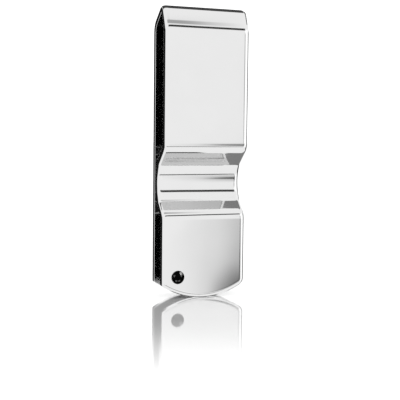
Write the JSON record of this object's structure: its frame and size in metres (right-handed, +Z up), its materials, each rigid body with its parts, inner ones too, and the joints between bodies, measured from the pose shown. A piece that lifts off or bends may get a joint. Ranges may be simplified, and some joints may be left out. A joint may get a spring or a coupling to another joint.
{
  "type": "money clip",
  "caption": "Slim folded spring-steel money clip with a pinched waist, rounded tips and a small round black stone set flush in the front leaf.",
  "frame": {"origin": "centre of the clip's box in plan, at the height of the rounded tips", "axes": "+Z up along the leaves to the fold, -Y out of the front leaf, +X across the width to the right as seen from the front"},
  "size_m": [0.0182, 0.0082, 0.06],
  "materials": {
    "polished_steel": "mirror-polished stainless steel",
    "black_stone": "opaque black faceted gemstone"
  },
  "bodies": {
    "back_leaf": {"back_leaf": "polished_steel", "spring_fold": "polished_steel"},
    "front_leaf": {"front_leaf": "polished_steel", "stone": "black_stone"}
  },
  "joints": [
    {"name": "front_leaf_flex", "type": "hinge", "parent": "back_leaf", "child": "front_leaf", "pos_m": [0, -0.0012, 0.05835], "axis": [-1, 0, 0], "range_deg": [0, 6], "stiffness_Nm_per_rad": 2}
  ]
}
